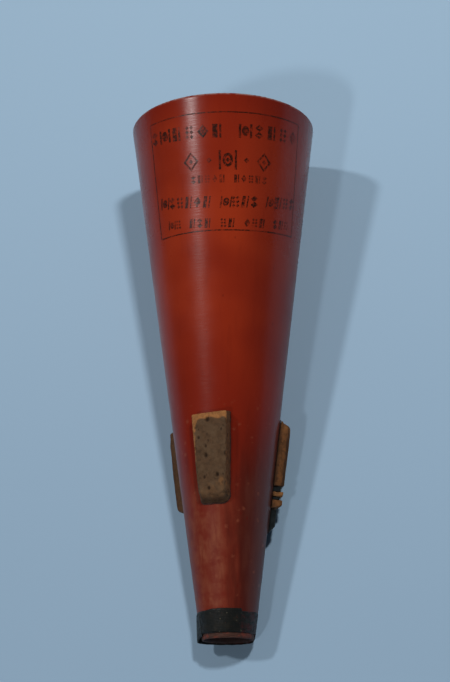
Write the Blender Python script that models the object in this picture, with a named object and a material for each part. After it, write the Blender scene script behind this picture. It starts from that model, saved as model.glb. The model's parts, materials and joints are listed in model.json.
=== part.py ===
"""Vintage straight mute for a trumpet or cornet, lying on its side.

A rolled fibre cone, closed at its wide end by a glued disc and open at its narrow end.
Three cork pads, evenly spaced, hold it in the bell. The right pad has broken into three bits,
and a small black block is glued next to it. Black cloth tape is wrapped round the tip.

Metres, +Z up. The mute lies along Y with its narrow end towards -Y, and rests on the lowest
line of the cone: on its wide rim and on the edge of the tape. The origin is the middle of
the bottom of its bounding box.

Each piece is first made upright on the cone's own axis: stations run along +Y from the narrow
end, and angles turn about that axis from the top (+Z) towards +X. One empty then lays it down.
"""
import math

import bmesh
import bpy
from mathutils import Vector

# The cone: outer size and wall
CONE_LENGTH = 0.184
WIDE_RADIUS = 0.03303
NARROW_RADIUS = 0.00911
WALL = 0.0014
EDGE = 0.00025              # chamfer on the edges of the fibre

# The lap of the rolled sheet, between the right pad and the floor
LAP_STEP = 0.00035          # height left of the sheet's end after sanding
LAP_CLEARANCE = math.radians(8)     # from the pad's side to the sheet's end
LAP_FLOOR_CLEARANCE = math.radians(5)
LAP_EDGE = math.radians(0.3)        # the step is this steep

# The disc that closes the wide end
DISC_THICKNESS = 0.0030
DISC_RECESS = 0.0030

# Cork pads, cut from flat cork and hollowed out below to sit on the cone
PAD_COUNT = 3
TOP_PAD_START = 0.0430      # stations of the pads' narrow ends
LEFT_PAD_START = 0.0436
RIGHT_PAD_START = 0.0443
PAD_LENGTH = 0.0307
TOP_PAD_THICKNESS = (0.0035, 0.0035)    # at the narrow and wide ends, along the middle
LEFT_PAD_THICKNESS = (0.0044, 0.0034)
RIGHT_PAD_THICKNESS = (0.0033, 0.0033)
PAD_NARROW_WIDTH = 0.0095
PAD_WIDE_WIDTH = 0.0123
PAD_FLARE = 0.0003          # how far the base stands out past the face on each side
PAD_CROWN = 0.0003          # how much lower the face lies along its sides
PAD_NARROW_SLOPE = 0.0020   # how far the end that enters the bell slopes back
PAD_WIDE_SLOPE = 0.0006
WORN_WIDE_SLOPE = 0.0022    # the right pad's wide end is worn back
PAD_ROUNDING = 0.0005

# The right pad's bits, counted from its narrow end
CHIP_LENGTH = 0.0031
CHIP_CRACK = 0.0010
SLICE_LENGTH = 0.0018
SLICE_CRACK = 0.0018

# The black block beside the right pad
BLOCK_LENGTH = 0.0085
BLOCK_THICKNESS = 0.0018
BLOCK_WIDTH = 0.0082
BLOCK_SLOPE = 0.0013

GLUE_GAP = 0.0003           # between pieces that touch

# The tape round the tip, in a shallow seat so that it lies almost flush with the cone
TAPE_START = 0.0018
TAPE_WIDTH = 0.0077
TAPE_THICKNESS = 0.00025
TAPE_GAP = 0.0002           # thin tape pressed onto the cone lies closer than glued pieces
TAPE_PROUD = 0.00005
SEAT_DEPTH = TAPE_GAP + TAPE_THICKNESS - TAPE_PROUD
SEAT_END = TAPE_START + TAPE_WIDTH + GLUE_GAP

# Fits and fineness
SEGMENTS = 96               # round the cone
PAD_FACETS = 8              # across a pad

PAD_SPACING = math.tau / PAD_COUNT


def cone_radius(station):
    """Outer radius of the plain cone."""
    share = station / CONE_LENGTH
    return NARROW_RADIUS + (WIDE_RADIUS - NARROW_RADIUS) * share


def pad_half_angle():
    """Half the angle that the right pad covers, at the end where it covers more."""
    ends = ((RIGHT_PAD_START, PAD_NARROW_WIDTH), (RIGHT_PAD_START + PAD_LENGTH, PAD_WIDE_WIDTH))
    return max(math.asin((width / 2 + PAD_FLARE) / cone_radius(station)) for station, width in ends)


LAP_ANGLE = PAD_SPACING + pad_half_angle() + LAP_CLEARANCE
LAP_FADE = math.pi - LAP_FLOOR_CLEARANCE - LAP_ANGLE


def lap_height(angle):
    """Height of the overlapping sheet above the plain cone."""
    past_end = angle % math.tau - LAP_ANGLE
    if past_end < -LAP_EDGE / 2 or past_end > LAP_FADE:
        return 0.0
    share = max(past_end, 0.0) / LAP_FADE
    return LAP_STEP * (1 + math.cos(math.pi * share)) / 2


def ring_angles(with_lap):
    """Angles round the cone: a flat facet at the floor, and a pair of points at the lap's step."""
    step = math.tau / SEGMENTS
    angles = [step * (index + 0.5) for index in range(SEGMENTS)]
    if with_lap:
        angles = [angle for angle in angles if abs(angle - LAP_ANGLE) > step / 2]
        angles += [LAP_ANGLE - LAP_EDGE, LAP_ANGLE]
    return sorted(angles)


def on_cone(angle, radius, station):
    """Point at an angle from the top, at a radius from the axis and a station along it."""
    return Vector((radius * math.sin(angle), station, radius * math.cos(angle)))


def make_material(name, color, roughness):
    material = bpy.data.materials.new(name)
    material.use_nodes = True
    shader = material.node_tree.nodes["Principled BSDF"]
    shader.inputs["Base Color"].default_value = (*color, 1.0)
    shader.inputs["Roughness"].default_value = roughness
    shader.inputs["Metallic"].default_value = 0.0
    return material


def make_object(name, mesh_builder, material, parent, smooth_angle=math.radians(30)):
    """One named piece from a bmesh, with its faces pointing out and round parts smooth."""
    bmesh.ops.recalc_face_normals(mesh_builder, faces=mesh_builder.faces)
    mesh = bpy.data.meshes.new(name)
    mesh_builder.to_mesh(mesh)
    mesh_builder.free()
    mesh.shade_smooth()
    mesh.set_sharp_from_angle(angle=smooth_angle)
    mesh.materials.append(material)
    piece = bpy.data.objects.new(name, mesh)
    bpy.context.scene.collection.objects.link(piece)
    piece.parent = parent
    return piece


def bridge_rings(mesh_builder, first, second):
    """Quads between two closed rings that have the same number of points."""
    count = len(first)
    for index in range(count):
        after = (index + 1) % count
        mesh_builder.faces.new((first[index], first[after], second[after], second[index]))


def make_sleeve(name, outline, outer_radius, material, parent):
    """A closed wall round the cone. The outline is a loop of (station, depth below the outside)."""
    mesh_builder = bmesh.new()
    angles = ring_angles(with_lap=True)
    rings = []
    for station, depth in outline:
        points = [on_cone(angle, outer_radius(angle, station, depth), station) for angle in angles]
        rings.append([mesh_builder.verts.new(point) for point in points])
    for first, second in zip(rings, rings[1:] + rings[:1]):
        bridge_rings(mesh_builder, first, second)
    return make_object(name, mesh_builder, material, parent)


def make_cone_shell(material, parent):
    """The rolled fibre cone. Its outside has the lap's step and the tape's seat."""
    def radius(angle, station, depth):
        lap = lap_height(angle) * (1 - depth / WALL)
        return cone_radius(station) + lap - depth

    outline = [
        (EDGE, SEAT_DEPTH), (SEAT_END, SEAT_DEPTH), (SEAT_END + SEAT_DEPTH, 0.0),
        (CONE_LENGTH - EDGE, 0.0), (CONE_LENGTH, EDGE), (CONE_LENGTH, WALL - EDGE),
        (CONE_LENGTH - EDGE, WALL), (EDGE, WALL), (0.0, WALL - EDGE), (0.0, SEAT_DEPTH + EDGE),
    ]
    return make_sleeve("cone_shell", outline, radius, material, parent)


def make_tip_binding(material, parent):
    """The cloth tape round the tip. It starts to rise just before the lap's step."""
    def radius(angle, station, depth):
        lap = max(lap_height(angle), lap_height(angle + LAP_EDGE))
        return cone_radius(station) + lap + TAPE_PROUD - depth

    start, end = TAPE_START, TAPE_START + TAPE_WIDTH
    outline = [(start, 0.0), (end, 0.0), (end, TAPE_THICKNESS), (start, TAPE_THICKNESS)]
    return make_sleeve("tip_binding", outline, radius, material, parent)


def make_end_disc(material, parent):
    """The disc glued inside the wide end. Its edge follows the cone's inside."""
    inner, outer = CONE_LENGTH - DISC_RECESS - DISC_THICKNESS, CONE_LENGTH - DISC_RECESS
    outline = [(inner, EDGE), (inner + EDGE, 0.0), (outer - EDGE, 0.0), (outer, EDGE)]
    mesh_builder = bmesh.new()
    rings = []
    for station, inset in outline:
        radius = cone_radius(station) - WALL - GLUE_GAP - inset
        points = [on_cone(angle, radius, station) for angle in ring_angles(with_lap=False)]
        rings.append([mesh_builder.verts.new(point) for point in points])
    for first, second in zip(rings, rings[1:]):
        bridge_rings(mesh_builder, first, second)
    mesh_builder.faces.new(rings[0])
    mesh_builder.faces.new(rings[-1])
    return make_object("end_disc", mesh_builder, material, parent)


def make_pad(name, angle, stations, widths, slopes, thicknesses, material, parent):
    """A pad on the cone. Its base follows the cone, its face is almost flat, its sides flare.

    stations, widths, slopes and thicknesses each have a value for the narrow end and one for
    the wide end.
    """
    mesh_builder = bmesh.new()
    start, end = stations

    def crossing(station, extra_width, height):
        share = (station - start) / (end - start)
        half_width = (widths[0] + (widths[1] - widths[0]) * share) / 2 + extra_width
        points = []
        for index in range(PAD_FACETS + 1):
            place = 2 * index / PAD_FACETS - 1
            across = half_width * place
            points.append(Vector((across, station, height(station, across, place))))
        return [mesh_builder.verts.new(point) for point in points]

    def base_height(station, across, place):
        return math.sqrt((cone_radius(station) + GLUE_GAP) ** 2 - across ** 2)

    def face_height(station, across, place):
        share = (station - start) / (end - start)
        thickness = thicknesses[0] + (thicknesses[1] - thicknesses[0]) * share
        return cone_radius(station) + GLUE_GAP + thickness - PAD_CROWN * place ** 2

    base_start = crossing(start, PAD_FLARE, base_height)
    base_end = crossing(end, PAD_FLARE, base_height)
    face_start = crossing(start + slopes[0], 0.0, face_height)
    face_end = crossing(end - slopes[1], 0.0, face_height)
    for first, second in ((base_start, base_end), (base_end, face_end),
                          (face_end, face_start), (face_start, base_start)):
        for index in range(PAD_FACETS):
            mesh_builder.faces.new((first[index], first[index + 1],
                                    second[index + 1], second[index]))
    for side in (0, -1):
        mesh_builder.faces.new((base_start[side], base_end[side], face_end[side], face_start[side]))

    piece = make_object(name, mesh_builder, material, parent)
    piece.rotation_euler = (0.0, angle, 0.0)
    bevel = piece.modifiers.new("rounding", "BEVEL")
    bevel.width = min(PAD_ROUNDING, (end - start) / 5, min(thicknesses) / 5)
    bevel.segments = 2
    bevel.limit_method = "ANGLE"
    bevel.angle_limit = math.radians(30)
    return piece


def make_cork_pads(material, parent):
    """Three pads. The top one and the left one are whole, and the right one is in three bits."""
    def bit(name, angle, pad_start, stations, slopes, pad_thicknesses):
        def along(values):
            step = (values[1] - values[0]) / PAD_LENGTH
            return [values[0] + step * (station - pad_start) for station in stations]

        make_pad(name, angle, stations, along((PAD_NARROW_WIDTH, PAD_WIDE_WIDTH)), slopes,
                 along(pad_thicknesses), material, parent)

    slopes = (PAD_NARROW_SLOPE, PAD_WIDE_SLOPE)
    for name, angle, start, thicknesses in (
            ("cork_pad_top", 0.0, TOP_PAD_START, TOP_PAD_THICKNESS),
            ("cork_pad_left", -PAD_SPACING, LEFT_PAD_START, LEFT_PAD_THICKNESS)):
        bit(name, angle, start, (start, start + PAD_LENGTH), slopes, thicknesses)

    start = RIGHT_PAD_START
    chip_end = start + CHIP_LENGTH
    slice_start = chip_end + CHIP_CRACK
    slice_end = slice_start + SLICE_LENGTH
    for name, stations, slopes in (
            ("cork_chip_right", (start, chip_end), (PAD_NARROW_SLOPE / 2, 0.0)),
            ("cork_slice_right", (slice_start, slice_end), (0.0, 0.0)),
            ("cork_pad_right", (slice_end + SLICE_CRACK, start + PAD_LENGTH),
             (0.0, WORN_WIDE_SLOPE))):
        bit(name, PAD_SPACING, start, stations, slopes, RIGHT_PAD_THICKNESS)


def make_block(material, parent):
    """The black block glued to the cone just past the right pad's narrow end."""
    end = RIGHT_PAD_START - GLUE_GAP
    return make_pad("rubber_block_right", PAD_SPACING, (end - BLOCK_LENGTH, end),
                    (BLOCK_WIDTH, BLOCK_WIDTH), (BLOCK_SLOPE, 0.0),
                    (BLOCK_THICKNESS, BLOCK_THICKNESS), material, parent)


def lay_down(parent):
    """Tilt the mute until its wide rim and its tape touch the floor, and centre it there."""
    tape_edge = TAPE_START + TAPE_WIDTH
    tape_radius = cone_radius(tape_edge) + TAPE_PROUD
    rim_edge = CONE_LENGTH - EDGE
    rise = cone_radius(rim_edge) - tape_radius
    parent.rotation_euler = (math.atan2(rise, rim_edge - tape_edge), 0.0, 0.0)
    bpy.context.view_layer.update()
    points = [piece.matrix_world @ vertex.co
              for piece in parent.children for vertex in piece.data.vertices]
    low = [min(point[axis] for point in points) for axis in range(3)]
    high = [max(point[axis] for point in points) for axis in range(3)]
    parent.location = (-(low[0] + high[0]) / 2, -(low[1] + high[1]) / 2, -low[2])
    bpy.context.view_layer.update()


def main():
    for piece in list(bpy.data.objects):
        bpy.data.objects.remove(piece, do_unlink=True)

    mute = bpy.data.objects.new("mute", None)
    bpy.context.scene.collection.objects.link(mute)

    red_lacquer = make_material("red_lacquer", (0.165, 0.016, 0.008), 0.3)
    disc_lacquer = make_material("disc_lacquer", (0.10, 0.012, 0.008), 0.45)
    cork = make_material("cork", (0.16, 0.09, 0.05), 0.9)
    black_tape = make_material("black_tape", (0.012, 0.012, 0.011), 0.8)
    black_rubber = make_material("black_rubber", (0.013, 0.014, 0.015), 0.7)

    make_cone_shell(red_lacquer, mute)
    make_end_disc(disc_lacquer, mute)
    make_cork_pads(cork, mute)
    make_block(black_rubber, mute)
    make_tip_binding(black_tape, mute)
    lay_down(mute)


main()
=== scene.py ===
"""The looks of the straight mute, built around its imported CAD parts."""
import json
import math
import random

import bpy
import numpy as np
from mathutils import Matrix, Vector, noise


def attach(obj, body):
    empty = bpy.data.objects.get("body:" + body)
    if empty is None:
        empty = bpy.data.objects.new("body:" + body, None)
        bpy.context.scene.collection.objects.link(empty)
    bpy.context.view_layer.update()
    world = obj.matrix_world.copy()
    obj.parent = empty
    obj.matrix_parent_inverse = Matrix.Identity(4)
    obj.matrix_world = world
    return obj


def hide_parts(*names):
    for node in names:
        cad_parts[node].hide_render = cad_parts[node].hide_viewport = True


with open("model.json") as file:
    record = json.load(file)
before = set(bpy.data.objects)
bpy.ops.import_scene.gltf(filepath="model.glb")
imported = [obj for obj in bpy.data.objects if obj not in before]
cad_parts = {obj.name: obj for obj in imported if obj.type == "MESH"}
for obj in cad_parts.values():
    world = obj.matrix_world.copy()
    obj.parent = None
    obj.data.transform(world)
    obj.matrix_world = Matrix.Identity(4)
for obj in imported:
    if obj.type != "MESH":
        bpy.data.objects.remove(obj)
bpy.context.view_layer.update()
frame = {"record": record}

# ---- sizes, in metres
MM = 0.001
CONE_LENGTH = 184 * MM
WIDE_RADIUS = 33.03 * MM
NARROW_RADIUS = 9.11 * MM
WALL = 1.4 * MM
SKIN = 0.05 * MM            # the smooth shell keeps inside the CAD cone's flats
WEAR = 0.02 * MM            # about how much lower its uneven surface lies
DISC_RECESS = 3.0 * MM
DISC_THICKNESS = 3.0 * MM
GLUE_GAP = 0.3 * MM

PAD_SPACING = math.radians(120)
TOP_TURN = math.radians(-1.4)       # the top pad was glued on a little to the left
PAD_LENGTH = 30.7 * MM
PAD_WIDTHS = (9.5 * MM, 12.3 * MM)
PAD_FLARE = 0.3 * MM
PAD_CROWN = 0.3 * MM
TOP_THICKNESS = (3.5 * MM, 3.5 * MM)       # at the narrow and wide ends
LEFT_THICKNESS = (4.4 * MM, 3.4 * MM)
RIGHT_THICKNESS = (3.3 * MM, 3.3 * MM)
TOP_START, LEFT_START, RIGHT_START = 43.0 * MM, 43.6 * MM, 44.3 * MM
TOP_ENDS = (TOP_START + 0.4 * MM, TOP_START + PAD_LENGTH)
TOP_ASKEW = 0.8 * MM                # how far its wide end is from square
LEFT_ENDS = (LEFT_START, LEFT_START + PAD_LENGTH)
CHIP = (44.3 * MM, 47.4 * MM)
SLICE = (48.4 * MM, 50.2 * MM)
RIGHT_PAD = (52.0 * MM, 75.0 * MM)
BLOCK = (35.5 * MM, 44.0 * MM)
BLOCK_WIDTH = 8.2 * MM
BLOCK_THICKNESS = 1.8 * MM
CORK_STEP = 0.24 * MM               # between the points of a cork piece's mesh
PITS_PER_PAD = 6

LAP_STEP = 0.35 * MM
LAP_ANGLE = math.radians(148)
LAP_END = math.radians(175)
TAPE_START, TAPE_END = 1.8 * MM, 9.5 * MM
TAPE_PROUD = 0.05 * MM
SEAT_DEPTH, SEAT_END = 0.4 * MM, 8.1 * MM   # the seat ends under the tape's edge

# ---- the mute's own frame
scene = bpy.context.scene
DISC_FACE = next(mount for mount in frame["record"]["mounts"] if mount["name"] == "end_disc_face")
AXIS = Vector(DISC_FACE["axis"]).normalized()
TIP = Vector(DISC_FACE["pos_m"]) - AXIS * (CONE_LENGTH - DISC_RECESS)
SIDE = Vector((1, 0, 0))
UP = SIDE.cross(AXIS).normalized()
TILT = math.atan2(AXIS.z, AXIS.y)
TO_ROW = np.array((SIDE, AXIS, UP))      # rows turn (side, station, up) into the row frame


def cone_radius(station):
    return NARROW_RADIUS + (WIDE_RADIUS - NARROW_RADIUS) * station / CONE_LENGTH


def on_cone(angle, station, radius):
    """Points (side, station, up). Angles start at the top and turn towards +X."""
    return np.stack((np.sin(angle) * radius, station + 0 * angle, np.cos(angle) * radius), axis=-1)


def swing(first, second, angle):
    """Two directions at right angles, both turned by that angle, the first towards the second."""
    c, s = math.cos(angle), math.sin(angle)
    return first * c + second * s, second * c - first * s


def smooth(value, low, high):
    share = np.clip((value - low) / (high - low), 0, 1)
    return share * share * (3 - 2 * share)


def wander(points, size, seed, stretch=(1, 1, 1)):
    """Smooth noise from -1 to 1 at each point, with features of about that size."""
    scaled = np.asarray(points) / size / np.array(stretch) + seed * 17.3
    return np.array([noise.noise(Vector(point)) for point in scaled.reshape(-1, 3)]).reshape(
        scaled.shape[:-1])


def make_piece(name, points, faces, slot, replaced=(), materials=(), marks=None, indices=None,
               flat=False):
    """A mesh that rides on the mute, from points (side, station, up). Its material has the
    slot's name unless materials gives others."""
    world = np.asarray(points).reshape(-1, 3) @ TO_ROW + np.array(TIP)
    mesh = bpy.data.meshes.new(name)
    mesh.from_pydata(world.tolist(), [], [list(map(int, face)) for face in faces])
    for key, values in (marks or {}).items():
        layer = mesh.attributes.new(key, "FLOAT", "POINT")
        layer.data.foreach_set("value", np.asarray(values, dtype=np.float32).ravel())
    for material in materials or [slot]:
        mesh.materials.append(materials_made[material])
    if indices is not None:
        mesh.polygons.foreach_set("material_index", np.asarray(indices, dtype=np.int32))
    mesh.polygons.foreach_set("use_smooth", [not flat] * len(mesh.polygons))
    piece = bpy.data.objects.new(name, mesh)
    scene.collection.objects.link(piece)
    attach(piece, "root")
    if replaced:
        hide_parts(*replaced)


def loop_faces(rings, count, close_rings=True):
    """Quads between rings of that many points each. They face outwards where the rings run
    towards the wide end outside and come back inside."""
    faces = []
    for ring in range(rings if close_rings else rings - 1):
        after = (ring + 1) % rings
        for index in range(count):
            beside = (index + 1) % count
            faces.append((ring * count + beside, after * count + beside,
                          after * count + index, ring * count + index))
    return faces


# ---- materials
LACQUER = (0.200, 0.0135, 0.0042)
LACQUER_DARK = (0.110, 0.0078, 0.0034)
LACQUER_BRIGHT = (0.320, 0.0300, 0.0074)
LACQUER_OLD = (0.060, 0.0085, 0.0050)
LACQUER_DULL = (0.158, 0.0205, 0.0104)
LACQUER_BROWN = (0.120, 0.034, 0.022)
LACQUER_RUBBED = (0.250, 0.066, 0.031)
LACQUER_FLECKS = (0.27, 0.070, 0.036)
RIM_WORN = (0.34, 0.19, 0.16)
INK = (0.026, 0.0062, 0.0030)
DISC, DISC_DARK, DISC_SCRATCH = (0.105, 0.012, 0.007), (0.05, 0.008, 0.006), (0.19, 0.07, 0.045)
FIBRE, FIBRE_DARK, FIBRE_RED = (0.085, 0.034, 0.022), (0.045, 0.020, 0.014), (0.17, 0.036, 0.021)
FIBRE_INSIDE = (0.045, 0.024, 0.022)
CORK_SKIN = ((0.104, 0.056, 0.029), (0.074, 0.041, 0.022))      # paler and darker granules
CORK_SKIN_PALE, CORK_SKIN_DARK = (0.122, 0.073, 0.040), (0.040, 0.023, 0.014)
CORK_CUT = ((0.190, 0.076, 0.029), (0.115, 0.050, 0.021))
CORK_CUT_DARK = (0.045, 0.020, 0.010)
CORK_FRESH = ((0.37, 0.155, 0.052), (0.27, 0.115, 0.040))
CORK_FRESH_DARK = (0.14, 0.058, 0.022)
# the first colour is grime on the upper edges of the cork walls, and also painted shade at the
# walls' feet
CORK_GRIME_AND_SHADE, CORK_PIT = (0.038, 0.021, 0.014), (0.014, 0.008, 0.006)
RUBBER, RUBBER_GREY = (0.0105, 0.0120, 0.0115), (0.021, 0.023, 0.022)
RUBBER_DUST = (0.045, 0.043, 0.040)
TAPE = ((0.0066, 0.0068, 0.0058), (0.0135, 0.0138, 0.0118))     # between and on the threads
TAPE_BROWN, TAPE_SCUFFED = (0.017, 0.014, 0.010), (0.042, 0.010, 0.008)
TAPE_LINT, TAPE_RED = (0.10, 0.085, 0.055), (0.10, 0.018, 0.012)
GLUE, GLUE_PALE = (0.036, 0.016, 0.012), (0.070, 0.027, 0.019)
LACQUER_GLOSS = {"IOR": 1.45, "Specular_IOR_Level": 0.29}
materials_made = {}


def add(tree, kind, inputs=None, **settings):
    """A shader node. Inputs are values or other nodes' outputs."""
    node = tree.nodes.new("ShaderNode" + kind)
    for key, value in settings.items():
        setattr(node, key, value)
    for key, value in (inputs or {}).items():
        if isinstance(value, bpy.types.NodeSocket):
            tree.links.new(value, node.inputs[key])
        else:
            node.inputs[key].default_value = value
    return node


def mute_place(tree, scale=(1, 1, 1)):
    """The shaded point as (side, station, up) in millimetres, times scale."""
    where = add(tree, "TexCoord").outputs["Object"]
    turned = Matrix.Rotation(-TILT, 3, "X") @ (-TIP)
    turn = add(tree, "Mapping", {"Vector": where, "Location": turned, "Rotation": (-TILT, 0, 0)})
    return add(tree, "Mapping", {"Vector": turn.outputs[0],
                                 "Scale": tuple(value / MM for value in scale)}).outputs[0]


def split(tree, where):
    """A point's three coordinates."""
    return add(tree, "SeparateXYZ", {0: where}).outputs


def grain(tree, where, size, detail=3.0, roughness=0.55, distortion=0.0):
    """Noise from 0 to 1 with features of about that size."""
    return add(tree, "TexNoise", {"Vector": where, "Scale": 1.0 / size, "Detail": detail,
                                  "Roughness": roughness, "Distortion": distortion}).outputs[0]


def cells(tree, where, size, output="Distance", feature="F1"):
    return add(tree, "TexVoronoi", {"Vector": where, "Scale": 1.0 / size},
               feature=feature).outputs[output]


def band(tree, value, low, high, start=0.0, end=1.0):
    """value from low to high, smoothly turned into start to end."""
    return add(tree, "MapRange", {"Value": value, "From Min": low, "From Max": high,
                                  "To Min": start, "To Max": end},
               interpolation_type="SMOOTHSTEP").outputs[0]


def math_of(tree, operation, first, *others):
    """The values joined by that operation, from left to right."""
    for other in others:
        first = add(tree, "Math", {0: first, 1: other}, operation=operation).outputs[0]
    return first


def times(tree, *values):
    return math_of(tree, "MULTIPLY", *values)


def plus(tree, *values):
    return math_of(tree, "ADD", *values)


def mix(tree, share, first, second, blend="MIX"):
    node = add(tree, "Mix", {0: share}, data_type="RGBA", blend_type=blend)
    for slot, value in ((6, first), (7, second)):
        if isinstance(value, bpy.types.NodeSocket):
            tree.links.new(value, node.inputs[slot])
        else:
            node.inputs[slot].default_value = (*value, 1.0)
    return node.outputs[2]


def mottled(tree, color, other, where, size, detail, low, high, amount=1.0):
    """color, turned into other by that amount where the grain rises from low to high."""
    return mix(tree, band(tree, grain(tree, where, size, detail), low, high, 0.0, amount),
               color, other)


def mark(tree, name):
    return add(tree, "Attribute", attribute_name=name).outputs["Fac"]


def new_material(name, **values):
    """The shader tree of a new material, which make_piece then finds by its name."""
    materials_made[name] = material = bpy.data.materials.new(name)
    material.use_nodes = True
    for key, value in values.items():
        shader_input(material.node_tree, key).default_value = value
    return material.node_tree


def shader_input(tree, key):
    return tree.nodes["Principled BSDF"].inputs[key.replace("_", " ")]


def connect(tree, **sockets):
    for key, socket in sockets.items():
        tree.links.new(socket, shader_input(tree, key))


def bump(tree, height, distance, strength, under=None):
    """Relief of that many millimetres, on top of the relief under it."""
    inputs = {"Height": height, "Distance": distance * MM, "Strength": strength}
    if under is not None:
        inputs["Normal"] = under
    return add(tree, "Bump", inputs).outputs[0]


def dress(tree, color, normal, where, size, least, most):
    """Connects colour and relief, and a roughness that wanders from least to most."""
    connect(tree, Base_Color=color, Normal=normal,
            Roughness=band(tree, grain(tree, where, size), 0.3, 0.7, least, most))


def lacquer_color(tree, where):
    """Red lacquer of uneven depth, and how rubbed it is. Its narrow half is rubbed paler on one
    side, and has darkened on the other. The right side of its wider part has painted shade."""
    streaky = mute_place(tree, (1, 0.11, 1))
    side, station = split(tree, where)[:2]
    middle = times(tree, band(tree, station, 62, 118), band(tree, station, 186, 170))
    uneven = band(tree, grain(tree, where, 30, 2), 0.30, 0.70, 0.25, 1)
    color = mix(tree, times(tree, middle, uneven), LACQUER, LACQUER_BRIGHT)
    color = mix(tree, band(tree, station, 66, 34, 0, 0.85), color, LACQUER_DULL)
    narrow_half = band(tree, station, 95, 35)
    fine_dark = times(tree, band(tree, grain(tree, streaky, 2.4, 4), 0.50, 0.80),
                      band(tree, narrow_half, 0, 1, 0.18, 0.75))
    color = mix(tree, fine_dark, color, LACQUER_DARK)

    # across is the place from the left side of the cone, -1, to the right side, 1
    reach = plus(tree, 9.1, times(tree, station, 0.13))
    across = math_of(tree, "DIVIDE", side, reach)
    ragged = times(tree, math_of(tree, "SUBTRACT", grain(tree, streaky, 4.5, 4), 0.5), 1.1)
    shifted = plus(tree, across, ragged)
    old = times(tree, band(tree, shifted, 0.12, 0.62), band(tree, station, 88, 40), 0.85)
    color = mix(tree, old, color, LACQUER_OLD)
    # painted shade: the right side of the cone, from about 70 mm past the tip, is darkened towards
    # LACQUER_DARK
    painted_shade = times(tree, band(tree, across, 0.30, 0.85, 0, 0.5), band(tree, station, 70, 100))
    color = mix(tree, painted_shade, color, LACQUER_DARK)
    brown = times(tree, band(tree, shifted, 0.60, 0.86), band(tree, station, 74, 48, 0, 0.35))
    color = mix(tree, brown, color, LACQUER_BROWN)

    rubbed_zone = times(tree, band(tree, station, 7, 11), band(tree, station, 60, 36))
    streaks = band(tree, grain(tree, streaky, 1.5, 5, 0.65, 0.5), 0.36, 0.66, 0.35, 1)
    patches = band(tree, grain(tree, where, 5, 4, 0.6), 0.30, 0.66)
    left_side = band(tree, shifted, 0.45, -0.15, 0.10, 1)
    rubbed = times(tree, rubbed_zone, left_side, streaks, patches)
    color = mix(tree, times(tree, rubbed, 0.85), color, LACQUER_RUBBED)
    wobble = add(tree, "TexNoise", {"Vector": where, "Scale": 0.9, "Detail": 3.0}).outputs["Color"]
    warped = add(tree, "VectorMath", {0: where, 1: wobble}, operation="ADD").outputs[0]
    flecks = times(tree, band(tree, cells(tree, warped, 2.6), 0.36, 0.12),
                   band(tree, grain(tree, where, 6), 0.50, 0.64),
                   band(tree, station, 88, 66, 0, 0.5))
    color = mix(tree, flecks, color, LACQUER_FLECKS)
    nicks = band(tree, cells(tree, mute_place(tree, (1, 0.6, 1)), 5.3), 0.085, 0.05, 0, 0.5)
    return mix(tree, nicks, color, LACQUER_DARK), rubbed


def lacquer_relief(tree):
    """Fine turning marks round the cone, and the slow waves of rolled fibre."""
    turning = grain(tree, mute_place(tree, (0.25, 2.2, 0.25)), 1, 4, 0.6)
    waves = grain(tree, mute_place(tree, (1, 0.4, 1)), 6, 2)
    return bump(tree, waves, 0.12, 0.5, bump(tree, turning, 0.045, 0.5))


def make_lacquer():
    """Glossy lacquer, duller where it is rubbed, near the tip and at the worn rim."""
    tree = new_material("red_lacquer", **LACQUER_GLOSS)
    where = mute_place(tree)
    station = split(tree, where)[1]
    color, rubbed = lacquer_color(tree, where)
    edge_wear = times(tree, band(tree, station, 183.2, 183.9),
                      band(tree, grain(tree, where, 2.2, 4), 0.40, 0.56))
    color = mix(tree, edge_wear, color, RIM_WORN)
    roughness = plus(tree, band(tree, grain(tree, where, 9, 4), 0.35, 0.75, 0.23, 0.30),
                     band(tree, station, 168, 118, 0, 0.05), times(tree, rubbed, 0.20),
                     band(tree, station, 183.0, 183.7, 0, 0.35),
                     band(tree, station, 70, 30, 0, 0.05))
    connect(tree, Base_Color=color, Roughness=roughness, Normal=lacquer_relief(tree))


def make_ink():
    """Printing ink that has worn thin, so that the lacquer shows through in places."""
    tree = new_material("printed_ink", **LACQUER_GLOSS)
    where = mute_place(tree)
    worn = plus(tree, band(tree, grain(tree, where, 0.9, 5, 0.7), 0.44, 0.64, 0, 0.75),
                band(tree, grain(tree, where, 6, 2), 0.50, 0.70, 0, 0.5))
    color = mix(tree, math_of(tree, "MINIMUM", worn, 0.92), INK, lacquer_color(tree, where)[0])
    dress(tree, color, lacquer_relief(tree), where, 2.0, 0.30, 0.44)


def make_disc_lacquer():
    tree = new_material("disc_lacquer", IOR=1.48)
    where = mute_place(tree)
    color = mottled(tree, DISC, DISC_DARK, where, 6, 4, 0.35, 0.7)
    color = mottled(tree, color, DISC_SCRATCH, mute_place(tree, (0.15, 1, 1.6)), 0.9, 3,
                    0.66, 0.74, 0.6)
    dress(tree, color, bump(tree, grain(tree, where, 1.6, 4), 0.10, 0.6), where, 4, 0.38, 0.6)


def make_fibre():
    tree = new_material("bare_fibre")
    where = mute_place(tree)
    round_it = mute_place(tree, (0.5, 3, 0.5))
    color = mottled(tree, FIBRE, FIBRE_DARK, round_it, 0.9, 4, 0.35, 0.7)
    color = mottled(tree, color, FIBRE_RED, where, 1.8, 3, 0.50, 0.66, 0.8)
    color = mix(tree, mark(tree, "inside"), color, FIBRE_INSIDE)
    dress(tree, color, bump(tree, grain(tree, round_it, 0.35, 4), 0.08, 0.8), where, 1, 0.6, 0.85)


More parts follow.
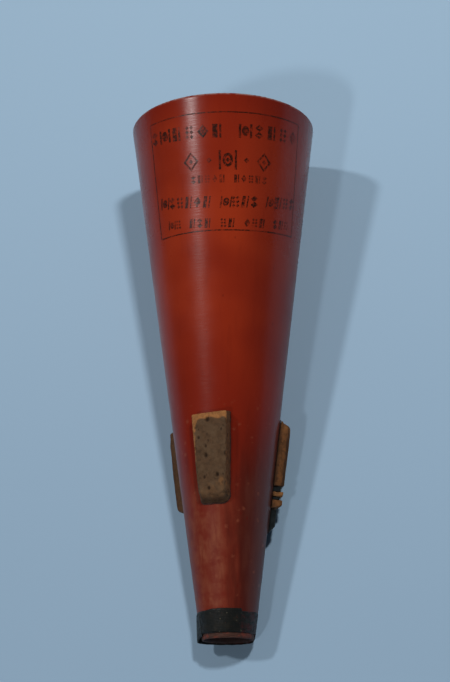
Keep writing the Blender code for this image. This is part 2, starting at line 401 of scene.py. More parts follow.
def make_cork_material():
    """Cork grain, with handled skin, fresh cork where an edge has worn, and dark pits."""
    tree = new_material("cork", Specular_IOR_Level=0.22)
    where = mute_place(tree)
    along = mute_place(tree, (1, 0.45, 1))
    tone = add(tree, "SeparateColor", {0: cells(tree, where, 0.85, "Color")}).outputs[0]
    skin = mottled(tree, mix(tree, tone, *CORK_SKIN), CORK_SKIN_PALE, where, 3.4, 4,
                   0.40, 0.70, 0.8)
    skin = mottled(tree, skin, CORK_SKIN_DARK, where, 2.1, 4, 0.56, 0.72, 0.55)
    cut = mottled(tree, mix(tree, tone, *CORK_CUT), CORK_CUT_DARK, along, 0.8, 4, 0.52, 0.76, 0.8)
    fresh = mottled(tree, mix(tree, tone, *CORK_FRESH), CORK_FRESH_DARK, where, 0.9, 3,
                    0.52, 0.72, 0.8)
    color = mix(tree, mark(tree, "cut"), skin, cut)
    color = mix(tree, mark(tree, "fresh"), color, fresh)
    # grime on the upper edges of the walls, and painted shade at their feet next to the cone
    color = mix(tree, mark(tree, "grime_and_shade"), color, CORK_GRIME_AND_SHADE)
    pores = times(tree, band(tree, cells(tree, along, 1.7), 0.22, 0.10),
                  band(tree, grain(tree, where, 2.6), 0.54, 0.62))
    dark = math_of(tree, "MAXIMUM", mark(tree, "pit"), times(tree, pores, 0.6))
    color = mix(tree, times(tree, dark, 0.9), color, CORK_PIT)
    seams = band(tree, cells(tree, where, 0.85, feature="DISTANCE_TO_EDGE"), 0, 0.10)
    normal = bump(tree, grain(tree, where, 0.45, 4), 0.12, 0.6, bump(tree, seams, 0.04, 0.5))
    normal = bump(tree, math_of(tree, "SUBTRACT", 1.0, pores), 0.15, 0.8, normal)
    dress(tree, color, normal, where, 1.4, 0.72, 0.92)


def make_rubber():
    tree = new_material("black_rubber")
    where = mute_place(tree)
    color = mottled(tree, RUBBER, RUBBER_GREY, where, 1.6, 4, 0.4, 0.7)
    dust = band(tree, grain(tree, where, 0.5, 5, 0.7), 0.62, 0.72, 0, 0.4)
    color = mix(tree, dust, color, RUBBER_DUST)
    dress(tree, color, bump(tree, grain(tree, where, 0.5, 4), 0.08, 0.6), where, 1.2, 0.48, 0.72)


def make_tape_cloth():
    """Black cloth tape: a fine weave, rubbed shine, lint and flecks of red lacquer."""
    tree = new_material("black_tape", Specular_IOR_Level=0.36)
    where = mute_place(tree)
    side, station, up = split(tree, where)
    turn = math_of(tree, "ARCTAN2", side, up)
    warp = add(tree, "CombineXYZ", {0: times(tree, turn, 10), 1: station}).outputs[0]
    weave = times(tree, *(add(tree, "TexWave", {"Vector": warp, "Scale": 0.62, "Distortion": 0.6},
                              bands_direction=way).outputs["Fac"] for way in "XY"))
    color = mottled(tree, mix(tree, weave, *TAPE), TAPE_BROWN, where, 2.4, 3, 0.45, 0.70, 0.8)
    scuffed = times(tree, band(tree, turn, math.radians(38), math.radians(44), 0, 0.9),
                    band(tree, grain(tree, where, 1.5, 4), 0.42, 0.62))
    color = mix(tree, scuffed, color, TAPE_SCUFFED)
    lint = times(tree, band(tree, cells(tree, where, 1.15), 0.20, 0.12),
                 band(tree, grain(tree, where, 1.7), 0.52, 0.60))
    color = mottled(tree, mix(tree, lint, color, TAPE_LINT), TAPE_RED, where, 0.55, 3,
                    0.68, 0.74, 0.8)
    normal = bump(tree, grain(tree, where, 1.3), 0.15, 0.6, bump(tree, weave, 0.05, 0.7))
    dress(tree, color, normal, where, 1.1, 0.42, 0.68)


def make_glue():
    tree = new_material("dark_glue")
    where = mute_place(tree)
    color = mottled(tree, GLUE, GLUE_PALE, where, 0.9, 4, 0.35, 0.7)
    dress(tree, color, bump(tree, grain(tree, where, 0.6), 0.12, 0.7), where, 0.8, 0.5, 0.75)


# ---- the cone
def lap_height(angle):
    """How far the sheet's outer end stands above the plain cone."""
    past = np.mod(angle, math.tau)
    fade = LAP_STEP * (1 + np.cos(np.pi * (past - LAP_ANGLE) / (LAP_END - LAP_ANGLE))) / 2
    return np.where((past >= LAP_ANGLE) & (past <= LAP_END), fade, 0)


def make_cone():
    """Outside, rims and inside as one closed surface, slightly uneven as hand-rolled fibre is."""
    lap_edge = LAP_ANGLE + np.radians([-0.4, -0.15, 0.001])
    angles = np.sort(np.append(np.arange(320) * math.tau / 320, lap_edge))
    outside = ([0.15, 0.4, 0.8, 1.2, 1.6, 2.2, 4, 6, 7.6, 8, 8.1, 8.2, 8.3, 8.4, 8.5, 8.7,
                9, 10, 11] + list(np.arange(12, 183, 1.2)) + [183.3])
    rings, kinds, dark = [], [], []

    def ring(points, kind, inside=0.0):
        rings.append(points)
        kinds.append(kind)
        dark.append(np.full(len(angles), inside))

    for station in np.array(outside) * MM:
        seat = SEAT_DEPTH * (1 - smooth(station, SEAT_END, SEAT_END + SEAT_DEPTH))
        points = on_cone(angles, station, cone_radius(station))
        uneven = 0.5 + 0.5 * wander(points, 26 * MM, 1, (1, 2.2, 1))
        fine = 0.5 + 0.5 * wander(points, 5 * MM, 2, (1, 2.5, 1))
        radius = cone_radius(station) - SKIN - seat - 0.05 * MM * uneven - 0.012 * MM * fine
        radius -= 0.08 * MM * (1 - smooth(station, 0, 0.6 * MM))
        lap = lap_height(angles) * smooth(station, 1.8 * MM, 3.0 * MM)
        ring(on_cone(angles, station, radius + lap), 1 if station < 5 * MM else 0)
    for inset, station in ((0.06, 183.72), (0.22, 183.93), (0.5, 184), (0.95, 184),
                           (1.22, 183.9), (WALL / MM, 183.6)):
        radius = cone_radius(station * MM) - SKIN - WEAR - inset * MM
        ring(on_cone(angles, station * MM, radius + lap_height(angles) * max(0, 1 - inset)), 0)
    for station in list(np.arange(180, 3, -4)) + [2]:
        ring(on_cone(angles, station * MM, cone_radius(station * MM) - SKIN - WALL), 1, 1)
    for inset, station, inside in ((1.30, 1, 1), (1.16, 0.45, 1), (1.04, 0.20, 0.9),
                                   (0.90, 0.06, 0.4), (0.72, 0, 0), (0.56, 0.05, 0)):
        points = on_cone(angles, station * MM, NARROW_RADIUS - SKIN - inset * MM)
        points[:, 1] += 0.08 * MM * wander(points, 2.0 * MM, 3)
        ring(points, 1, inside)
    make_piece("lacquered_cone", rings, loop_faces(len(rings), len(angles)), "red_lacquer",
               ["cone_shell"], ["red_lacquer", "bare_fibre"],
               {"inside": np.concatenate(dark)}, np.repeat(kinds, len(angles)))


def make_end_disc():
    """The disc in the wide end, slightly dished, and the bead of glue round it."""
    angles = np.arange(192) * math.tau / 192
    face = CONE_LENGTH - DISC_RECESS
    back = face - DISC_THICKNESS
    outer = cone_radius(face) - SKIN - WALL - GLUE_GAP
    back_outer = cone_radius(back) - SKIN - WALL - GLUE_GAP
    dish, hub = 0.35 * MM, 0.02 * MM
    rings = []
    profile = [(hub, face - dish)]
    for share in np.linspace(0.06, 0.96, 16):
        profile.append((outer * share, face - dish * (1 - share ** 2) - 0.02 * MM))
    profile += [(outer - 0.35 * MM, face), (outer - 0.10 * MM, face - 0.10 * MM),
                (outer - 0.04 * MM, face - 0.40 * MM), (back_outer, back),
                (back_outer * 0.6, back), (back_outer * 0.2, back), (hub, back)]
    for radius, station in profile:
        ring = on_cone(angles, station, radius)
        ring[:, 1] += 0.05 * MM * wander(ring, 9 * MM, 5) - 0.05 * MM
        rings.append(ring)
    count = len(angles)
    faces = [face[::-1] for face in loop_faces(len(rings), count, close_rings=False)]
    last = (len(rings) - 1) * count
    faces += [range(count), reversed(range(last, last + count))]
    make_piece("closing_disc", rings, faces, "disc_lacquer", ["end_disc"])

    rings = []
    wall = cone_radius(face) - SKIN - WALL
    for turn in np.arange(10) * math.tau / 10:
        middle = on_cone(angles, face + 0.15 * MM, wall - 0.32 * MM)
        bulge = 0.42 * MM * (1 + 0.25 * wander(middle, 4 * MM, 6))
        radius = wall - 0.34 * MM + bulge * math.cos(turn) * 0.7
        ring = on_cone(angles, face + 0.05 * MM, radius)
        ring[:, 1] += bulge * math.sin(turn)
        rings.append(ring)
    make_piece("disc_glue", rings, loop_faces(len(rings), count), "disc_lacquer",
               materials=["dark_glue"])


# ---- blocks on the cone
def box_skin(counts):
    """Points of a box's skin from -1 to 1, and its outward quads."""
    index, faces = {}, []
    for axis in range(3):
        first, second = (axis + 1) % 3, (axis + 2) % 3
        for level in (0, counts[axis]):
            for i in range(counts[first]):
                for j in range(counts[second]):
                    quad = []
                    for di, dj in ((0, 0), (1, 0), (1, 1), (0, 1)):
                        cell = [0, 0, 0]
                        cell[axis], cell[first], cell[second] = level, i + di, j + dj
                        quad.append(index.setdefault(tuple(cell), len(index)))
                    faces.append(quad if level else quad[::-1])
    return np.array(list(index)) / np.array(counts) * 2 - 1, faces


def rounded(skin, half, radius):
    """The skin's points on a box with rounded edges, and their outward directions."""
    radius = np.broadcast_to(radius, len(skin))[:, None]
    full = skin * half
    inner = np.clip(full, -(half - radius), half - radius)
    out = full - inner
    out /= np.linalg.norm(out, axis=1, keepdims=True)
    return inner + out * radius, out


def onto_cone(box, half, stations, widths, slopes, low, highs, flare, crown):
    """Bends a box's points onto the cone's top, from low to highs above the cone; widths,
    slopes and highs are those at the narrow and wide ends."""
    u, v, w = (box / half).T
    lift, share = (w + 1) / 2, (v + 1) / 2
    length = stations[1] - stations[0]
    station = (stations[0] + slopes[0] * lift
               + share * (length - (slopes[0] + slopes[1]) * lift))
    x = u * ((widths[0] + (widths[1] - widths[0]) * share) / 2 + flare * (1 - lift))
    base = np.sqrt((cone_radius(station) + low) ** 2 - x ** 2)
    face = cone_radius(station) + highs[0] + (highs[1] - highs[0]) * share - crown * u ** 2
    return np.stack((x, station, base + (face - base) * lift), axis=1)


def round_corners(box, half, narrow, wide, askew=0.0):
    """Draws a box's corners in, as seen from above; each end gives its left and right radius.
    The wide end's left side also stands askew by that much."""
    box[:, 1] -= askew * (1 - box[:, 0] / half[0]) / 2 * smooth(box[:, 1] / half[1], -1.0, 1)
    for end, radii in ((-1, narrow), (1, wide)):
        for side, radius in zip((-1, 1), radii):
            if radius:
                past = np.clip((box[:, 0] * side - half[0]) / radius + 1, 0, 1)
                box[:, 1] -= end * radius * (1 - np.sqrt(1 - past ** 2)) \
                    * smooth(box[:, 1] * end / half[1], 0.3, 1)
    return box


def turned(points, angle):
    x, station, z = points.T
    x, z = swing(x, z, angle)
    return np.stack((x, station, z), axis=1)


def make_cork_piece(name, node, angle, stations, pad_start, slopes, thickness, seed, pits=(),
                    fresh=None, grimy_rim=0.0, broken=(0, 0), worn_ends=(0, 0), cut=1.0,
                    narrow_corners=(0, 0), wide_corners=(0, 0), askew=0.0):
    """A cork pad or a bit of one: rounded, worn edges, pits, and marks for its shader. Each of
    pits is a place (u, v, w) on the pad, a size and a depth, both in millimetres."""
    def along(ends):
        return [ends[0] + (ends[1] - ends[0]) * (station - pad_start) / PAD_LENGTH
                for station in stations]

    widths, thicknesses = along(PAD_WIDTHS), along(thickness)
    length = stations[1] - stations[0]
    half = np.array((sum(widths) / 4, length / 2, sum(thicknesses) / 4))
    counts = [max(int(2 * size / CORK_STEP), least) for size, least in zip(half, (6, 6, 12))]
    skin, faces = box_skin(counts)
    rough = wander(skin * half, 2.6 * MM, seed)
    radius = (0.42 + 0.30 * np.clip(rough, -0.6, 1)) * MM * (0.35 + 0.65 * (skin[:, 2] > -0.6))
    for side, amount in zip((-1, 1), worn_ends):
        radius += amount * smooth(skin[:, 1] * side, 0.55, 0.95) * (skin[:, 2] > -0.6)
    radius = np.minimum(radius, min(length / 3, half[2] * 0.9))
    box, out = rounded(skin, half, radius)
    u, v, w = (box / half).T
    box = round_corners(box, half, narrow_corners, wide_corners, askew)
    points = onto_cone(box, half, stations, widths, slopes,
                       GLUE_GAP, [GLUE_GAP + value for value in thicknesses],
                       PAD_FLARE, PAD_CROWN)

    edge = 1 - np.abs(out).max(axis=1)
    chipped = smooth(wander(points, 1.5 * MM, seed + 1), 0.05, 0.5) * smooth(edge, 0.02, 0.25)
    depth = 0.05 * MM * (0.5 + 0.5 * wander(points, 3.2 * MM, seed + 2))
    depth += 0.035 * MM * (0.5 + 0.5 * wander(points, 0.7 * MM, seed + 3))
    depth += 0.22 * MM * chipped * (w > -0.5)
    ragged = 0.5 + 0.5 * wander(points, 1.1 * MM, seed + 4)
    for side, amount in zip((-1, 1), broken):
        depth += amount * ragged * smooth(out[:, 1] * side, 0.6, 0.95)

    pit = np.zeros(len(points))
    spots = list(pits)
    rng = random.Random(seed)
    for _ in range(int(PITS_PER_PAD * length / PAD_LENGTH) + 1):
        spots.append((rng.uniform(-1, 1), rng.uniform(-1, 1),
                      rng.choice((1, 1, rng.uniform(-1, 1))),
                      rng.uniform(0.16, 0.42), rng.uniform(0.15, 0.5)))
    for x, s, z, size, deep in spots:
        away = (box - np.array((x, s, z)) * half) / (np.array((1, 1.5, 1)) * size * MM)
        fall = np.exp(-np.minimum((away ** 2).sum(axis=1), 40) ** 1.5)
        depth += deep * MM * fall
        pit = np.maximum(pit, fall * min(1, 0.4 + deep))
    points = points - out * depth[:, None]

    wall = 1 - smooth(np.abs(out[:, 2]), 0.3, 0.8)
    wall *= 1 - 0.8 * smooth(-out[:, 1], 0.3, 0.7) * (slopes[0] > 1.5 * MM)
    rub = wander(points, 1.3 * MM, seed + 6)
    marks = {"cut": cut * np.clip(wall, 0, 1), "pit": pit}
    bright = fresh(u, v, w, out, rub) if fresh else np.zeros(len(points))
    bright = np.maximum(bright, 0.45 * smooth(edge, 0.1, 0.4) * smooth(rub, 0.15, 0.5))
    marks["fresh"] = np.clip(bright, 0, 1)
    rim = grimy_rim * wall * smooth(w + 0.25 * rub, 0.25, 0.6)
    # painted shade: the foot of each wall, where it meets the cone, is darkened
    painted_foot_shade = 0.6 * wall * smooth(-w + 0.25 * rub, 0.60, 0.90)
    marks["grime_and_shade"] = np.clip(np.maximum(rim, painted_foot_shade), 0, 1)
    make_piece(name, turned(points, angle), faces, "cork", [node], marks=marks)


# How fresh the cork is at a place from -1 to 1 across, along and up the pad. out is the outward
# direction and rub is noise.
def fresh_on_top(u, v, w, out, rub):
    """Pale cork along the wide end and the left edge of the top pad."""
    up = smooth(out[:, 2], -0.1, 0.5)
    end = smooth(v + 0.050 * rub + 0.045 * np.abs(u), 0.845, 0.90)
    left = smooth(-u + 0.08 * rub + 0.28 * smooth(v, 0.45, 1), 0.86, 0.94) \
        * smooth(v + 0.3 * rub, -0.25, 0.15)
    dab = 0.35 * smooth(0.24 - np.hypot(u - 0.66, (v + 0.66) * 1.8) + 0.12 * rub, 0, 0.16)
    low = 0.12 * smooth(-v + 0.3 * rub, 0.62, 0.95)
    return up * np.maximum(np.maximum(end, np.maximum(dab, low)), 0.9 * left)


def fresh_on_right(u, v, w, out, rub):
    return 0.60 * smooth(v + 0.1 * rub, 0.62, 0.85) * smooth(out[:, 2], -0.4, 0.2)


def fresh_bits(u, v, w, out, rub):
    return 0.55 * smooth(rub, -0.30, 0.25) * smooth(w, -0.5, 0.2)


def fresh_slice(u, v, w, out, rub):
    return 0.62 + 0.25 * smooth(rub, -0.30, 0.25) * smooth(w, -0.5, 0.2)


def make_cork():
    slopes = (2.0 * MM, 0.6 * MM)       # how far the ends lean in from foot to face
    top_pits = ((-0.10, 0.80, 1, 0.50, 0.8), (-0.28, -0.05, 1, 0.50, 0.8),
                (0.96, -0.02, 1, 0.48, 0.7), (-0.95, 0.12, 1, 0.40, 0.6),
                (0.42, -0.52, 1, 0.50, 0.8), (-0.18, -0.83, 1, 0.42, 0.6),
                (-0.45, -0.57, 1, 0.38, 0.45))
    make_cork_piece("cork_strip_top", "cork_pad_top", TOP_TURN, TOP_ENDS, TOP_START, slopes,
                    TOP_THICKNESS, 21, top_pits, fresh_on_top, 0.2, worn_ends=(1.0 * MM, 0),
                    narrow_corners=(1.6 * MM, 2.8 * MM), wide_corners=(0.5 * MM, 0.5 * MM),
                    askew=TOP_ASKEW)
    crack = tuple((0.9, 0.42 + 0.03 * step, 0.9 - 0.35 * step, 0.20, 0.4) for step in range(5))
    make_cork_piece("cork_strip_left", "cork_pad_left", -PAD_SPACING, LEFT_ENDS, LEFT_START,
                    slopes, LEFT_THICKNESS, 34, crack, None, 0.2,
                    worn_ends=(0.6 * MM, 0.9 * MM), cut=0.55)
    make_cork_piece("cork_strip_right", "cork_pad_right", PAD_SPACING, RIGHT_PAD, RIGHT_START,
                    (0, 2.2 * MM), RIGHT_THICKNESS, 47, (), fresh_on_right, 0.85,
                    broken=(0.35 * MM, 0), worn_ends=(0, 0.8 * MM))
    make_cork_piece("cork_slice", "cork_slice_right", PAD_SPACING, SLICE, RIGHT_START, (0, 0),
                    RIGHT_THICKNESS, 53, (), fresh_slice, broken=(0.2 * MM, 0.2 * MM), cut=0.3)
    make_cork_piece("cork_chip", "cork_chip_right", PAD_SPACING, CHIP, RIGHT_START,
                    (1.0 * MM, 0), RIGHT_THICKNESS, 61, (), fresh_bits, 0.3,
                    broken=(0, 0.25 * MM))


def make_block():
    half = np.array((BLOCK_WIDTH / 2, (BLOCK[1] - BLOCK[0]) / 2, BLOCK_THICKNESS / 2))
    skin, faces = box_skin((34, 36, 10))
    radius = (0.34 + 0.14 * wander(skin * half, 2.0 * MM, 71)) * MM
    box, out = rounded(skin, half, radius)
    points = onto_cone(box, half, (BLOCK[0] + 0.4 * MM, BLOCK[1]),
                       (BLOCK_WIDTH - 0.8 * MM, BLOCK_WIDTH), (2.4 * MM, 0),
                       GLUE_GAP, [GLUE_GAP + BLOCK_THICKNESS] * 2, 0.1 * MM, 0.15 * MM)
    depth = 0.05 * (0.5 + 0.5 * wander(points, 1.6 * MM, 72))
    depth += 0.18 * smooth(wander(points, 1.1 * MM, 73), 0.2, 0.6) \
        * smooth(1 - np.abs(out).max(axis=1), 0.02, 0.25)
    points = points - out * depth[:, None] * MM
    make_piece("black_block", turned(points, PAD_SPACING), faces, "black_rubber",
               ["rubber_block_right"])


def make_crack_fill():
    """Old glue and dirt packed into the cracks of the right pad."""
    for name, stations, seed in (("glue_crack_1", (CHIP[1], SLICE[0]), 74),
                                 ("glue_crack_2", (SLICE[1], RIGHT_PAD[0]), 75)):
        stations = (stations[0] + 0.02 * MM, stations[1] - 0.02 * MM)
        half = np.array((4.6 * MM, (stations[1] - stations[0]) / 2, 1.2 * MM))
        skin, faces = box_skin((36, 6, 12))
        box = rounded(skin, half, 0.15 * MM)[0]
        points = onto_cone(box, half, stations, (9.2 * MM, 9.2 * MM), (0, 0), GLUE_GAP,
                           [GLUE_GAP + 2.5 * MM] * 2, 0, 0.3 * MM)
        points[:, 2] -= 0.5 * MM * (0.5 + 0.5 * wander(points, 1.4 * MM, seed)) * (skin[:, 2] > 0)
        make_piece(name, turned(points, PAD_SPACING), faces, "black_rubber")


def make_glue_beds():
    """Dark glue squeezed out under each pad, with an uneven edge."""
    beds = (("glue_top", TOP_TURN, TOP_ENDS, PAD_WIDTHS, 81),
            ("glue_left", -PAD_SPACING, LEFT_ENDS, PAD_WIDTHS, 82),
            ("glue_right", PAD_SPACING, (BLOCK[0] + 0.8 * MM, RIGHT_START + PAD_LENGTH),
             (BLOCK_WIDTH, PAD_WIDTHS[1]), 83))
    for name, angle, stations, widths, seed in beds:
        length = stations[1] - stations[0]
        half = np.array((sum(widths) / 4, length / 2, 0.16 * MM))
        skin, faces = box_skin((24, int(length / (0.4 * MM)), 4))
        box = rounded(skin, half, 0.12 * MM)[0]
        spill = 0.10 * MM + 0.20 * MM * wander(box * (1, 1, 0), 2.4 * MM, seed)
        if name == "glue_top":
            box = round_corners(box, half, (1.4 * MM, 2.6 * MM), (0.5 * MM, 0.5 * MM), TOP_ASKEW)
        points = onto_cone(box, half, (stations[0] - 0.15 * MM, stations[1] + 0.15 * MM), widths,
                           (0, 0), -0.1 * MM, (0.25 * MM, 0.25 * MM), 0, 0)
        lift = np.hypot(points[:, 0], points[:, 2]) - cone_radius(points[:, 1])
        points[:, 0] += skin[:, 0] * (spill + PAD_FLARE) * smooth(np.abs(skin[:, 0]), 0.7, 1)
        points[:, 1] += skin[:, 1] * spill * 0.6 * smooth(np.abs(skin[:, 1]), 0.96, 1)
        thin = smooth(np.abs(skin[:, 0]), 0.8, 1)
        lift = np.where(lift > 0, np.minimum(lift, 0.25 * MM) * (1 - 0.45 * thin), lift)
        turn = np.arctan2(points[:, 0], points[:, 2])
        points = on_cone(turn, points[:, 1], cone_radius(points[:, 1]) + lift)
        make_piece(name, turned(points, angle), faces, "cork", materials=["dark_glue"])


# ---- the tape
def tape_sheet(name, angles, inner, outer, start, end, replaced=(), closed=False):
    """A strip of tape along those angles; inner and outer are its heights above the cone."""
    rows = np.linspace(0, 1, 21)
    rings = []
    for share, side in [(share, 1) for share in rows] + [(share, -1) for share in rows[::-1]]:
        station = start + (end - start) * share
        near_edge = min(share, 1 - share) * (TAPE_END - TAPE_START)
        round_off = 0.10 * MM * (1 - min(near_edge / (0.15 * MM), 1))
        height = outer(angles, share) - round_off if side > 0 else inner(angles, share)
        rings.append(on_cone(angles, station, cone_radius(station) + height))
    count = len(angles)
    faces = loop_faces(len(rings), count)
    if not closed:
        faces = [face for face in faces if abs(face[0] % count - face[3] % count) == 1]
        total = len(rings) * count
        faces += [range(total - 1, 0, -count), range(0, total, count)]
    make_piece(name, rings, faces, "black_tape", replaced)


def make_tape():
    """Two turns of tape, its cut end over the first turn, and a loose fold on the left."""
    cut = math.radians(41)
    turn = np.arange(300) * math.tau / 300 - math.pi
    around = on_cone(turn, 0, 10 * MM)
    start = TAPE_START + 0.20 * MM * wander(around, 4 * MM, 91) \
        + 0.08 * MM * wander(around, 1.2 * MM, 92)
    first_turn = smooth(turn, cut - 0.02, cut + 0.02) * smooth(turn, 2.2, 1.8)
    end = TAPE_END - 0.05 * MM - 0.75 * MM * first_turn \
        - 0.45 * MM * smooth(-turn, 0.25, 0.60) * smooth(-turn, 2.6, 2.2) \
        + 0.16 * MM * wander(around, 4 * MM, 93) + 0.12 * MM * wander(around, 1.3 * MM, 94)

    def surface(angles, share):
        points = on_cone(angles, share * 8 * MM, 10 * MM)
        creases = 0.03 * MM * wander(points, 1.8 * MM, 95, (1, 3, 1))
        step = 0.05 * MM * smooth(angles, cut, cut + 0.03) * smooth(angles, 2.6, 1.8)
        return lap_height(angles) + TAPE_PROUD - 0.01 * MM + 0.5 * creases - step

    def below(angles, share):
        return 0.7 * lap_height(angles) - SEAT_DEPTH - 0.12 * MM

    tape_sheet("tape_turns", turn, below, surface, start, end, ["tip_binding"], closed=True)

    # The fold stands off on the left, then runs on under the tip and shows below the opening
    turn = np.radians(np.linspace(-262, -52, 150))
    around = on_cone(turn, 0, 10 * MM)
    left = -np.degrees(turn)
    reach = smooth(left, 56, 86) * smooth(left, 262, 235)
    start = 1.0 * MM - 1.45 * MM * reach + 0.10 * MM * wander(around, 2 * MM, 96)
    end = TAPE_END - 0.9 * MM + 0.2 * MM * wander(around, 3 * MM, 97)

    def lifted(angles, share):
        left = -np.degrees(angles)
        bow = smooth(left, 54, 92) * smooth(left, 150, 100)
        creases = 0.04 * MM * wander(on_cone(angles, share * 8 * MM, 10 * MM), 1.5 * MM, 98)
        low = 0.12 * MM - 0.20 * MM * smooth(left, 120, 150)
        return low + bow * (1.20 * MM * (1 - share) ** 0.7 + 0.05 * MM + creases)

    def under_fold(angles, share):
        return lifted(angles, share) - 0.22 * MM - 0.10 * MM * (1 - share)

    tape_sheet("tape_loose_fold", turn, under_fold, lifted, start, end)


# ---- the printed label
INK_LEVELS = (0.035 * MM, -0.10 * MM)       # its face and its foot, from the shell's surface
BAR_STEP = 0.5                              # in millimetres, as all of the pen's sizes are
LOZENGE_TIP = 0.01


class Ink:
    """Collects thin, closed strips of ink that follow the cone."""

    def __init__(self):
        self.points, self.faces = [], []

    def strip(self, left, right, closed=False):
        """left and right are matching lists of (angle, station)."""
        count = len(left)
        first = len(self.points)
        for line in (left, right):
            for level in INK_LEVELS:
                for angle, station in line:
                    radius = cone_radius(station) - SKIN - WEAR + level
                    self.points.append(on_cone(angle, station, radius))
        top_left, low_left, top_right, low_right = (first + count * k for k in range(4))
        corners = (top_left, top_right, low_right, low_left)
        ends = corners[1:] + corners[:1]
        for index in range(count if closed else count - 1):
            after = (index + 1) % count
            for a, b in zip(corners, ends):
                self.faces.append((a + after, b + after, b + index, a + index))
        if not closed:
            self.faces.append(ends)
            self.faces.append([corner + count - 1 for corner in reversed(ends)])


def row_line(middle, rise_left, rise_right):
    """Station along a printed line that climbs towards its ends."""
    def station(turn):
        share = turn / math.radians(50)
        return (middle + (rise_left if share < 0 else rise_right) * abs(share) ** 1.8) * MM
    return station


class Pen:
    """Draws ornaments at a place on a row; across and up are in millimetres."""

    def __init__(self, ink, row, turn, slant=0.0):
        self.ink, self.row, self.turn, self.slant = ink, row, turn, slant
        self.radius = cone_radius(row(turn)) / MM

    def at(self, across, up):
        across = across + up * self.slant
        turn = self.turn + across / self.radius
        return turn + CAMERA_TURN, self.row(turn) + up * MM

    def bar(self, across, height, width):
        """An upright bar, in short steps so that it follows the row."""
        count = max(2, int(height / BAR_STEP) + 1)
        ups = [height * (index / (count - 1) - 0.5) for index in range(count)]
        self.ink.strip([self.at(across - width / 2, up) for up in ups],
                       [self.at(across + width / 2, up) for up in ups])

    def ring(self, width, height, line, sides=20):
        outer, inner = [], []
        for index in range(sides):
            turn = math.tau * index / sides
            c, s = math.cos(turn), math.sin(turn)
            outer.append(self.at(c * width / 2, s * height / 2))
            inner.append(self.at(c * (width / 2 - line), s * (height / 2 - line)))
        self.ink.strip(inner, outer, closed=True)

    def lozenge(self, width, height, line=None):
        """A solid lozenge, or the outline of one if a line width is given."""
        if line:
            self.ring(width, height, line, sides=4)
            return
        spans = ((LOZENGE_TIP, -0.5), (width / 2 + LOZENGE_TIP, 0), (LOZENGE_TIP, 0.5))
        self.ink.strip([self.at(-half, height * up) for half, up in spans],
                       [self.at(half, height * up) for half, up in spans])


def ornament(ink, row, turn, kind, height, line, slant=0.0):
    """One plain ornament. None of them is a letter or a figure."""
    pen = Pen(ink, row, turn, slant)
    wide = height * 0.66
    if kind == "bars":              # a thick bar and a thin one
        pen.bar(-wide * 0.22, height, line * 1.7)
        pen.bar(wide * 0.34, height, line * 0.7)
    elif kind == "grid":            # two columns of small lozenges
        for x in (-0.26, 0.26):
            for y in (-0.34, 0, 0.34):
                Pen(ink, lambda turn, y=y: row(turn) + y * height * MM,
                    turn + x * wide / pen.radius, slant).lozenge(wide * 0.42, height * 0.30)
    elif kind == "eye":             # a lozenge round a dot
        pen.lozenge(wide * 1.25, height, line)
        pen.lozenge(line * 1.5, line * 2)
    elif kind == "solid":
        pen.lozenge(wide * 0.95, height * 0.95)
    elif kind == "pair":            # one lozenge over another
        for y in (-0.26, 0.26):
            Pen(ink, lambda turn, y=y: row(turn) + y * height * MM, turn,
                slant).lozenge(wide * 0.95, height * 0.52)
    elif kind == "target":          # a ring round a dot, between two bars
        pen.ring(wide * 0.80, height * 0.72, line)
        pen.lozenge(line * 1.5, line * 2)
        for side in (-0.62, 0.62):
            pen.bar(wide * side, height, line * 0.8)
    elif kind == "dot":
        pen.lozenge(line * 2, line * 2)


def ornament_row(ink, row, first, last, kinds, height, line, slant=0.0):
    """Ornaments spread from one angle to another; a dash leaves a space."""
    kinds = kinds.split()
    for index, kind in enumerate(kinds):
        if kind != "-":
            turn = math.radians(first + (last - first) * index / (len(kinds) - 1))
            ornament(ink, row, turn, kind, height, line, slant)


def make_label():
    """A ruled frame round five rows of plain ornaments. There are no letters in it."""
    ink = Ink()
    half = 0.21 * MM                # half the width of the frame's lines
    top, bottom = row_line(177.1, 0.7, 1), row_line(135.5, 0.6, 1.6)
    left_top, left_bottom, right_top, right_bottom = map(math.radians, (-53, -54, 56, 60.5))
    for line, first, last in ((top, left_top, right_top), (bottom, left_bottom, right_bottom)):
        turns = np.linspace(first, last, 110)
        ink.strip([(turn + CAMERA_TURN, line(turn) + half) for turn in turns],
                  [(turn + CAMERA_TURN, line(turn) - half) for turn in turns])
    for first, last in ((left_top, left_bottom), (right_top, right_bottom)):
        sides = [[], []]
        for share in np.linspace(0, 1, 70):
            turn = first + (last - first) * share + CAMERA_TURN
            station = top(first) + (bottom(last) - top(first)) * share
            half_turn = half / cone_radius(station)
            sides[0].append((turn - half_turn, station))
            sides[1].append((turn + half_turn, station))
        ink.strip(*sides)
    ornament_row(ink, row_line(170.4, 1.8, 2), -49.5, 51,
                 "pair target bars grid eye bars - target pair bars grid eye", 4.9, 1.05)
    ornament_row(ink, row_line(160.1, 0.8, 0.8), -22, 28, "eye dot target dot eye", 6.8, 0.95)
    ornament_row(ink, row_line(153.5, 1.6, 1.6), -21, 29,
                 "pair bars grid solid bars - bars solid grid bars pair", 2.8, 0.55)
    ornament_row(ink, row_line(145.3, 3.1, 2.9), -46, 56,
                 "target pair grid bars solid bars - target grid bars pair - "
                 "target bars grid pair", 4.1, 0.66, 0.16)
    ornament_row(ink, row_line(138, 2.4, 2.4), -41, 52,
                 "target grid - bars pair bars - grid bars - solid grid bars - pair bars grid",
                 3.2, 0.62, 0.12)
    make_piece("printed_label", ink.points, ink.faces, "red_lacquer", materials=["printed_ink"],
               flat=True)


# ---- camera, floor and light
CAMERA_TURN = math.radians(13.5)    # about the axis, from the top pad towards +X
CAMERA_STATION, CAMERA_HEIGHT = -0.06141, 0.53167
CAMERA_PITCH, CAMERA_ROLL = 0.3018, -0.0093
FOCAL_SHARE = 2.32482               # focal length over the picture's height
SENSOR_HEIGHT = 36.0


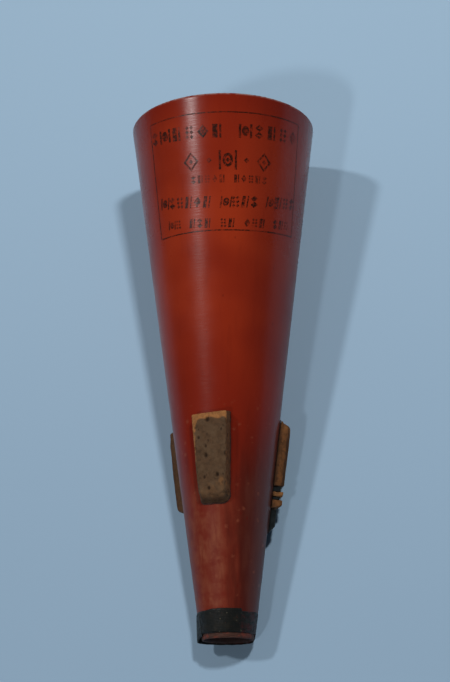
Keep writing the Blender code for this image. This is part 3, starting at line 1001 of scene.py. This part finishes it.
def make_camera():
    """The camera looks at the cone's axis from above and in front of the tip."""
    facing, right = swing(UP, SIDE, CAMERA_TURN)
    up, back = swing(AXIS, facing, CAMERA_PITCH)
    matrix = Matrix((*swing(right, up, CAMERA_ROLL), back)).transposed().to_4x4()
    matrix.translation = TIP + AXIS * CAMERA_STATION + facing * CAMERA_HEIGHT
    data = bpy.data.cameras.new("camera")
    data.sensor_fit = "VERTICAL"
    data.sensor_height = SENSOR_HEIGHT
    data.lens = FOCAL_SHARE * SENSOR_HEIGHT
    data.clip_start = 0.01
    camera = bpy.data.objects.new("camera", data)
    camera.matrix_world = matrix
    scene.collection.objects.link(camera)
    scene.camera = camera


def make_floor():
    """A pale blue floor with painted light: lighter far from the camera and to the left."""
    tree = new_material("pale_floor", Roughness=0.9)
    where = add(tree, "TexCoord").outputs["Object"]
    tone = grain(tree, where, 1 / 9, 2, 0.5)
    near = mix(tree, tone, (0.335, 0.468, 0.605), (0.350, 0.485, 0.622))
    x, y = split(tree, where)[:2]
    # painted light: the floor is painted lighter far from the camera
    color = mix(tree, band(tree, y, -0.14, 0.30), near, (0.445, 0.610, 0.765))
    # painted light: the floor is painted lighter to the left and darker to the right
    painted_light_across = mix(tree, band(tree, x, -0.16, 0.16), (1.02, 1.04, 1.05), (0.93, 0.95, 0.96))
    connect(tree, Base_Color=mix(tree, 1.0, color, painted_light_across, "MULTIPLY"))
    bpy.ops.mesh.primitive_plane_add(size=3.0, location=(0, 0, 0))
    floor = bpy.context.object
    floor.name = "floor"
    floor.data.materials.append(materials_made["pale_floor"])


def make_lamp(name, azimuth, zenith, distance, power, size, glossy=True):
    """A round lamp aimed at the origin; its angles are in degrees, from +X and from +Z."""
    data = bpy.data.lights.new(name, "AREA")
    data.shape = "DISK"
    data.size = size
    data.energy = power
    lamp = bpy.data.objects.new(name, data)
    azimuth, zenith = math.radians(azimuth), math.radians(zenith)
    toward = Vector((math.sin(zenith) * math.cos(azimuth), math.sin(zenith) * math.sin(azimuth),
                     math.cos(zenith)))
    lamp.location = toward * distance
    lamp.rotation_euler = toward.to_track_quat("Z", "Y").to_euler()
    lamp.visible_glossy = glossy
    scene.collection.objects.link(lamp)


def make_light():
    make_lamp("lamp_a", azimuth=29.6, zenith=23.1, distance=0.8, power=2.6, size=0.07,
              glossy=False)
    make_lamp("lamp_b", azimuth=157.4, zenith=27.0, distance=4.0, power=39.0, size=0.30)
    make_lamp("lamp_c", azimuth=-110.1, zenith=38.1, distance=4.0, power=24.4, size=0.30,
              glossy=False)
    world = bpy.data.worlds.new("world")
    world.use_nodes = True
    background = world.node_tree.nodes["Background"]
    background.inputs["Color"].default_value = (0.66, 0.88, 1.06, 1.0)
    background.inputs["Strength"].default_value = 0.072
    scene.world = world
    scene.view_settings.view_transform = "Standard"


make_lacquer()
make_ink()
make_disc_lacquer()
make_fibre()
make_cork_material()
make_rubber()
make_tape_cloth()
make_glue()

make_cone()
make_end_disc()
make_cork()
make_block()
make_crack_fill()
make_glue_beds()
make_tape()
make_label()
make_camera()
make_floor()
make_light()
